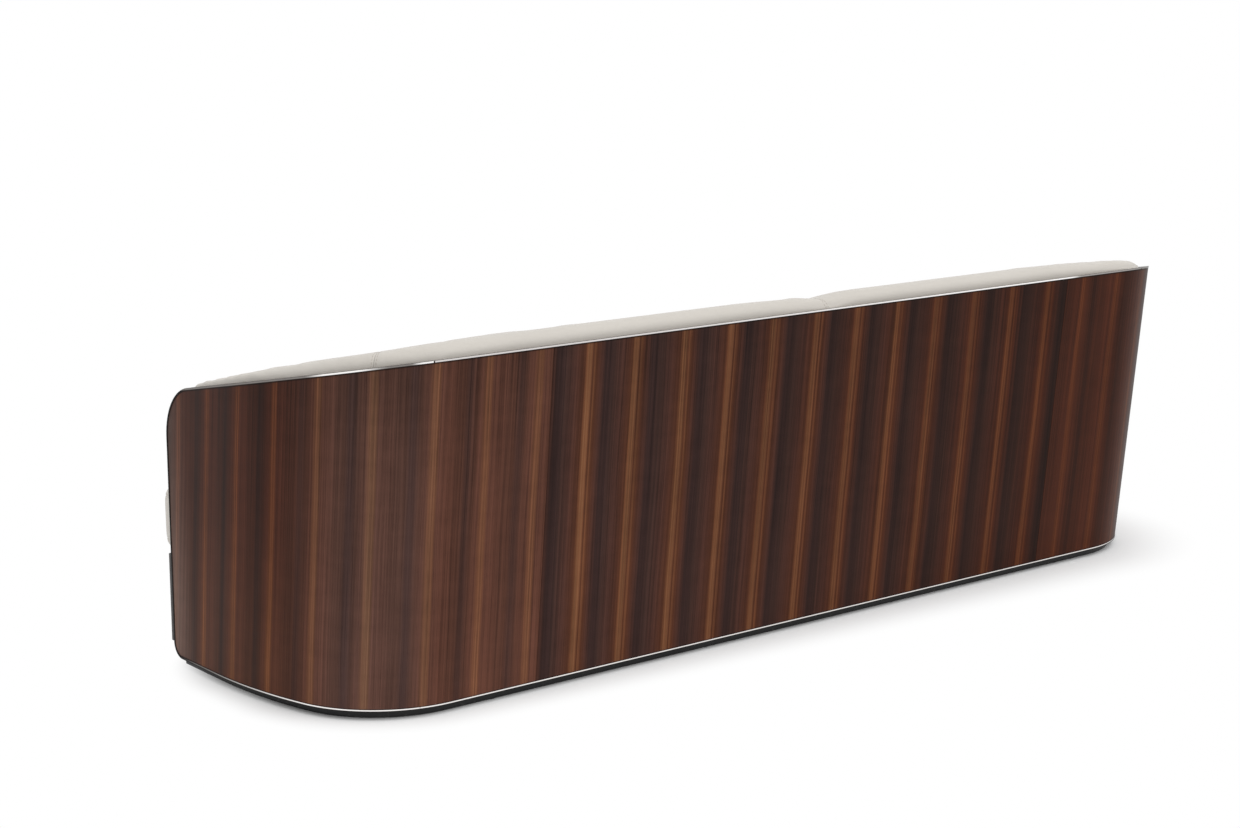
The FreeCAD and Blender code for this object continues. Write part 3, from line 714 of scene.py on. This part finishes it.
# The arm board fills out to the shell here, so that the thin arm padding is one thick form to work on.
# The back padding is carried past the sofa's middle, to be cut there once it is filled.
board_shift = 0.016
middle_face = 0.002
middle_overlap = 0.05
left_pads = joined_copy("left_padding", "left_back_pad", "left_arm_pad", "left_top_rail",
                        "left_inner_board")
points = read_points(left_pads)
board_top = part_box("left_inner_board")[1].z
depth, out = wall_depth(points)
board_back = (depth > 0.0380) & (depth < 0.0392) & (points[:, 2] < board_top)
points[board_back, :2] += out[board_back] * board_shift
points[points[:, 0] < middle_face, 0] -= middle_overlap
write_points(left_pads, points)
keep_side(left_pads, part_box("left_arm_pad")[0], Vector((0, 0, 1)))
even_out(left_pads, pad_voxel)
points = read_points(left_pads)
normals = read_normals(left_pads)
depth, out = wall_depth(points)
facing_out = (normals[:, :2] * out).sum(1)
inside_shell = eased(depth, 0.026, 0.040)
hidden = eased(facing_out, 0.55, 0.9) * (1 - inside_shell)
hidden = np.maximum(hidden, eased(facing_out, 0.2, 0.6) * inside_shell)
hidden = np.maximum(hidden, eased(-normals[:, 2], 0.2, 0.6))
mitre_gap = np.abs((points - np.array(mitre_point)) @ np.array(mitre_normal))
middle_gap = np.abs(points[:, 0])
at_seam = np.maximum(1 - eased(mitre_gap, 0.004, 0.030), 1 - eased(middle_gap, 0.004, 0.020))
clear_of_mitre = eased(mitre_gap, 0.0, mitre_clear)
clear_of_middle = eased(middle_gap, 0.0, middle_clear)
arm_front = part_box("left_arm_pad")[0].y
clear_of_front = eased(points[:, 1], arm_front, arm_front + front_clear)
sunk = np.maximum(mitre_sink * (1 - clear_of_mitre), middle_sink * (1 - clear_of_middle))
sunk = np.maximum(sunk, front_sink * (1 - clear_of_front)) * (1 - hidden)
write_points(left_pads, points - normals * sunk[:, None])
room = pad_rise * clear_of_mitre * clear_of_middle * (0.5 + 0.5 * clear_of_front) * (1 - hidden)
fill_with_foam(left_pads, np.maximum(hidden, at_seam), room, pad_pressure)
shape_by(left_pads, "SUBSURF", levels=1, render_levels=1)
left_back = copy_of(left_pads, "left_back_padding")
keep_side(left_back, middle_point, middle_normal)
keep_side(left_back, mitre_point - mitre_normal * seam_half_gap, -mitre_normal)
left_arm = copy_of(left_pads, "left_arm_padding")
keep_side(left_arm, mitre_point + mitre_normal * seam_half_gap, mitre_normal)
bpy.data.objects.remove(left_pads)
pinch(left_back, mitre_point, mitre_normal, depth=0.0016, reach=0.008)
pinch(left_back, middle_point, middle_normal, depth=0.0018, reach=0.012)
pinch(left_arm, mitre_point, mitre_normal, depth=0.0016, reach=0.008)
# The right half is a mirror image whose top has sunk further at its seams.
right_back = mirror_image(left_back, "right_back_padding")
right_arm = mirror_image(left_arm, "right_arm_padding")
right_mitre_point = mitre_point * Vector((-1, 1, 1))
right_mitre_normal = mitre_normal * Vector((-1, 1, 1))
settle(left_back, middle_point, middle_normal, depth=0.006, reach=0.26)
settle(right_back, middle_point, middle_normal, depth=0.008, reach=0.13)
settle(right_back, right_mitre_point, right_mitre_normal, depth=0.012, reach=0.36)
settle(right_arm, right_mitre_point, right_mitre_normal, depth=0.012, reach=0.36)


def behind_or_low(points):
    """Where a pad lies against the shell or behind the seat cushions, out of sight."""
    cushion_edge = 0.37
    board_reach = back_height - 0.24
    as_on_left = points * (np.sign(points[:, :1]) * (1, 0, 0) + (0, 1, 1))
    depth = wall_depth(as_on_left)[0]
    by_board = (depth < 0.060) & (points[:, 2] < board_reach)
    by_shell = depth < 0.0215
    return (points[:, 2] < cushion_edge) | by_board | by_shell


stitch_rows = []
for end, back, arm, seam_point, seam_normal in (
        ("left", left_back, left_arm, mitre_point, mitre_normal),
        ("right", right_back, right_arm, right_mitre_point, right_mitre_normal)):
    back_line = seam_point - seam_normal * stitch_gap
    arm_line = seam_point + seam_normal * stitch_gap
    stitch_rows.append(sew(end + "_corner_stitches", back, back_line, seam_normal, behind_or_low))
    stitch_rows.append(sew(end + "_arm_stitches", arm, arm_line, seam_normal, behind_or_low))
for end, back, offset in (("left", left_back, stitch_gap), ("right", right_back, -stitch_gap)):
    middle_line = (offset, 0, 0)
    stitch_rows.append(sew(end + "_middle_stitches", back, middle_line, middle_normal, behind_or_low))
for row in stitch_rows:
    finish_thread(row, "frame")
finish_soft(left_back, "frame", "left_back_pad")
finish_soft(right_back, "frame", "right_back_pad")
finish_soft(left_arm, "frame", "left_arm_pad")
finish_soft(right_arm, "frame", "right_arm_pad")

# Seat cushions: loose foam wrapped in feather under the same leather, one for each half of the seat,
# lifted out to clean under. Crowned on top, drawn in along the sides, with a seam round the border.
cushion_voxel = 0.012
cushion_sink = 0.009
cushion_rise = 0.012
side_draw = 0.006
cushion_pressure = 0.8
low_seam = 0.262
high_seam = 0.362
cushion_low, cushion_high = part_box("left_seat_cushion")
left_cushion = joined_copy("left_cushion", "left_seat_cushion", "left_seat_core")
even_out(left_cushion, cushion_voxel)
points = read_points(left_cushion)
normals = read_normals(left_cushion)
resting = eased(-normals[:, 2], 0.3, 0.8)
upright = 1 - eased(np.abs(normals[:, 2]), 0.4, 0.9)
past_arm = 1 - eased(points[:, 1], arm_front - 0.08, arm_front - 0.01)
outer = eased(points[:, 0], cushion_low.x + 0.15, cushion_low.x + 0.45)
sunk = cushion_sink * (1 - resting) - cushion_sink * past_arm * outer * upright
write_points(left_cushion, points - normals * sunk[:, None])
from_side = np.minimum(points[:, 0] - cushion_low.x, cushion_high.x - points[:, 0])
from_front = np.minimum(points[:, 1] - cushion_low.y, cushion_high.y - points[:, 1])
from_corner = np.maximum(from_side, from_front)
drawn_in = side_draw * upright * eased(from_corner, 0.06, 0.30)
fill_with_foam(left_cushion, resting, cushion_rise * (1 - resting) - drawn_in, cushion_pressure)
shape_by(left_cushion, "SUBSURF", levels=1, render_levels=1)


def score(piece, point, normal, half_width):
    """Add edges along a plane and at each side of it, for a seam to be drawn in."""
    alone(piece)
    bpy.ops.object.mode_set(mode="EDIT")
    for offset in (-half_width, 0, half_width):
        bpy.ops.mesh.select_all(action="SELECT")
        bpy.ops.mesh.bisect(plane_co=point + normal * offset, plane_no=normal)
    bpy.ops.object.mode_set(mode="OBJECT")


upward = Vector((0, 0, 1))
for seam_height in (low_seam, high_seam):
    border_seam = Vector((0, 0, seam_height))
    score(left_cushion, border_seam, upward, half_width=0.0025)
    pinch(left_cushion, border_seam, upward, depth=0.0022, reach=0.0030)


def nowhere(points):
    """No point of a cushion's border is left out of its row of stitches."""
    return np.zeros(len(points), dtype=bool)


right_cushion = mirror_image(left_cushion, "right_cushion")
border_line = upward * (high_seam + stitch_gap)
left_stitches = sew("left_cushion_stitches", left_cushion, border_line, upward, nowhere)
right_stitches = mirror_image(left_stitches, "right_cushion_stitches")
finish_thread(left_stitches, "left_seat")
finish_thread(right_stitches, "right_seat")
finish_soft(left_cushion, "left_seat", "left_seat_cushion")
finish_soft(right_cushion, "right_seat", "right_seat_cushion")

# Studio: a white floor that runs out of sight into white air, lit by a wide soft source above the right
# of the camera, a weaker one over the seat, and the bright room around.


def white_seen(tree):
    """1 for what the camera, mirrors and glass see, and 0 for the light that falls on the sofa."""
    ray = tree.nodes.new("ShaderNodeLightPath")
    seen = Shade(tree, ray.outputs["Is Camera Ray"])
    seen = seen.math("MAXIMUM", Shade(tree, ray.outputs["Is Glossy Ray"]))
    return seen.math("MAXIMUM", Shade(tree, ray.outputs["Is Transmission Ray"]))


floor_size = 400
bpy.ops.object.select_all(action="DESELECT")
bpy.ops.mesh.primitive_plane_add(size=floor_size, location=(0, 0, 0))
floor = bpy.context.object
floor.name = "studio_floor"
floor_paint, place, feed = new_finish("floor_paint", Specular_IOR_Level=0.0, Roughness=0.9)
feed(Base_Color=place.noise(3, 2).blend(tone("f6f6f6"), tone("f8f8f8")))
tree = floor_paint.node_tree
# The floor glows white to the eye but for a rounded patch about the sofa, which shows the shadow there.
across, deep = place.axes()[:2]
patch_corner = 0.30
beyond_side = (across.math("ABSOLUTE") - (cad_box[1].x - patch_corner)).math("MAXIMUM", 0)
beyond_end = (deep.math("ABSOLUTE") - (back_face - patch_corner)).math("MAXIMUM", 0)
clear = (beyond_side * beyond_side + beyond_end * beyond_end).math("SQRT") - patch_corner
shadow_reach = 0.21 - 0.055 * across.math("MAXIMUM", -1.4).math("MINIMUM", 1.4)
away = ((clear + 0.05) / shadow_reach).ramp(0, 1)
glow = tree.nodes.new("ShaderNodeEmission")
glow.inputs["Strength"].default_value = 1.0
mixed = tree.nodes.new("ShaderNodeMixShader")
tree.links.new((away * white_seen(tree)).socket, mixed.inputs[0])
tree.links.new(tree.nodes["Principled BSDF"].outputs[0], mixed.inputs[1])
tree.links.new(glow.outputs[0], mixed.inputs[2])
tree.links.new(mixed.outputs[0], tree.nodes["Material Output"].inputs["Surface"])
floor.data.materials.append(floor_paint)

world = bpy.data.worlds.new("studio_air")
bpy.context.scene.world = world
world.use_nodes = True
air = world.node_tree
room_light = 0.62
air_glow = air.nodes["Background"]
air_glow.inputs["Color"].default_value = (1, 1, 1, 1)
air.links.new((room_light + (1 - room_light) * white_seen(air)).socket, air_glow.inputs["Strength"])


def soft_light(name, toward, strength, spread):
    """Even light over the whole set from one side, as soft as its spread is wide."""
    lamp = bpy.data.lights.new(name, "SUN")
    lamp.energy = strength
    lamp.angle = math.radians(spread)
    holder = bpy.data.objects.new(name, lamp)
    bpy.context.scene.collection.objects.link(holder)
    holder.rotation_euler = Vector(toward).to_track_quat("-Z", "Y").to_euler()


soft_light("rear_light", (0.45, -0.85, -1.25), 1.15, 50)
soft_light("seat_light", (-0.25, 0.70, -1.40), 0.55, 80)

# Camera: at eye level behind the sofa, off its left rear corner, looking a little down with a long lens.
eye_level = 1.6225
lens = bpy.data.cameras.new("rear_corner_view")
lens.lens = 68.66
lens.sensor_width = 36
lens.clip_end = floor_size
viewer = bpy.data.objects.new("rear_corner_view", lens)
bpy.context.scene.collection.objects.link(viewer)
viewer.location = (3.796, back_face + 4.0, eye_level)
viewer.rotation_euler = (math.radians(78.67), 0, math.radians(141.2))
bpy.context.scene.camera = viewer
bpy.context.scene.view_settings.view_transform = "Standard"
